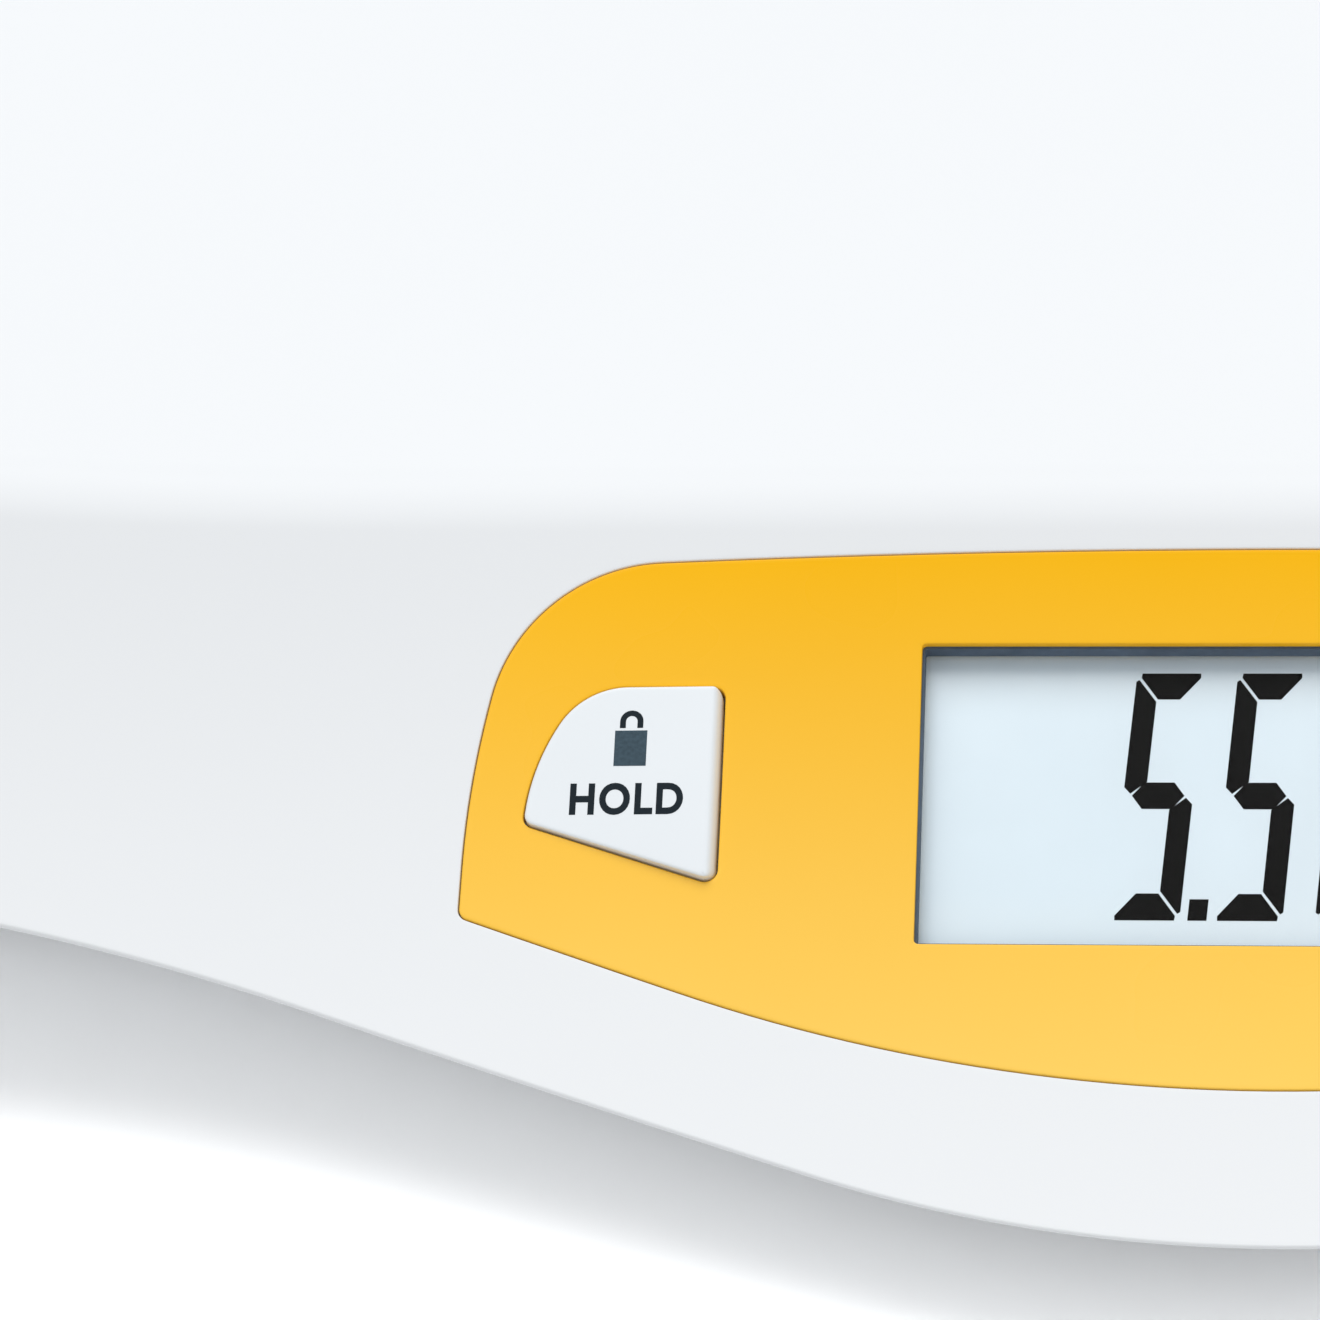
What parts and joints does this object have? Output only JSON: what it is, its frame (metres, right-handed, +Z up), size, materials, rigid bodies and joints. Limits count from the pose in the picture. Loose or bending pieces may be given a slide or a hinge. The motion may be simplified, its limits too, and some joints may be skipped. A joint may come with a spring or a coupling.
{
  "type": "digital baby weighing scale",
  "caption": "Cradle-shaped white tray on a shallow base with sprung load-cell feet, a yellow control panel with a display and keys, and a battery door.",
  "frame": {"origin": "on the standing surface, under the middle of the tray's outline", "axes": "+X to the user's right along the length of the tray, +Y away from the user, +Z up"},
  "size_m": [0.55, 0.335, 0.079],
  "materials": {
    "tray_white": "high gloss",
    "base_white": "fine satin",
    "panel_yellow": "satin gloss",
    "key_grey": "satin",
    "window_clear": "polished",
    "lcd_pale_blue": "satin",
    "holder_black": "moulded",
    "zebra_grey": "smooth",
    "board_green": "solder mask",
    "chip_black": "moulded",
    "switch_black": "moulded",
    "stem_white": "moulded",
    "steel": "zinc plated",
    "gauge_film": "varnished",
    "foot_rubber": "matt",
    "cup_grey": "moulded",
    "battery_case": "satin",
    "snap_black": "moulded"
  },
  "bodies": {
    "housing": {"top_shell": "tray_white", "base_shell": "base_white", "control_panel": "panel_yellow", "key_switches": "switch_black", "lcd_lens": "window_clear", "lcd_glass": "lcd_pale_blue", "lcd_holder": "holder_black", "zebra_strips": "zebra_grey", "main_board": "board_green", "control_chip": "chip_black", "housing_screws": "steel", "board_screws": "steel", "unit_screws": "steel", "load_cells": "steel", "strain_gauges": "gauge_film", "battery": "battery_case", "battery_snap": "snap_black", "unit_switch": "switch_black", "unit_board": "board_green", "foot_pad_front_left": "foot_rubber", "foot_cup_front_left": "cup_grey", "foot_pad_front_right": "foot_rubber", "foot_cup_front_right": "cup_grey", "foot_pad_back_left": "foot_rubber", "foot_cup_back_left": "cup_grey", "foot_pad_back_right": "foot_rubber", "foot_cup_back_right": "cup_grey"},
    "hold": {"hold_key": "key_grey", "hold_stem": "stem_white"},
    "power": {"power_key": "key_grey", "power_stem": "stem_white"},
    "unit": {"unit_button": "key_grey", "unit_stem": "stem_white"},
    "door": {"battery_door": "base_white"}
  },
  "joints": [
    {"name": "hold_press", "type": "slide", "parent": "housing", "child": "hold", "axis": [0, 0.4069, -0.9135], "range_m": [0, 0.0008], "stiffness_N_per_m": 2000},
    {"name": "power_press", "type": "slide", "parent": "housing", "child": "power", "axis": [0, 0.4069, -0.9135], "range_m": [0, 0.0008], "stiffness_N_per_m": 2000},
    {"name": "unit_press", "type": "slide", "parent": "housing", "child": "unit", "axis": [0, 0, 1], "range_m": [0, 0.0008], "stiffness_N_per_m": 2000},
    {"name": "door_hinge", "type": "hinge", "parent": "housing", "child": "door", "pos_m": [-0.02823, 0.045, 0.0073], "axis": [0, 1, 0], "range_deg": [0, 90]}
  ]
}
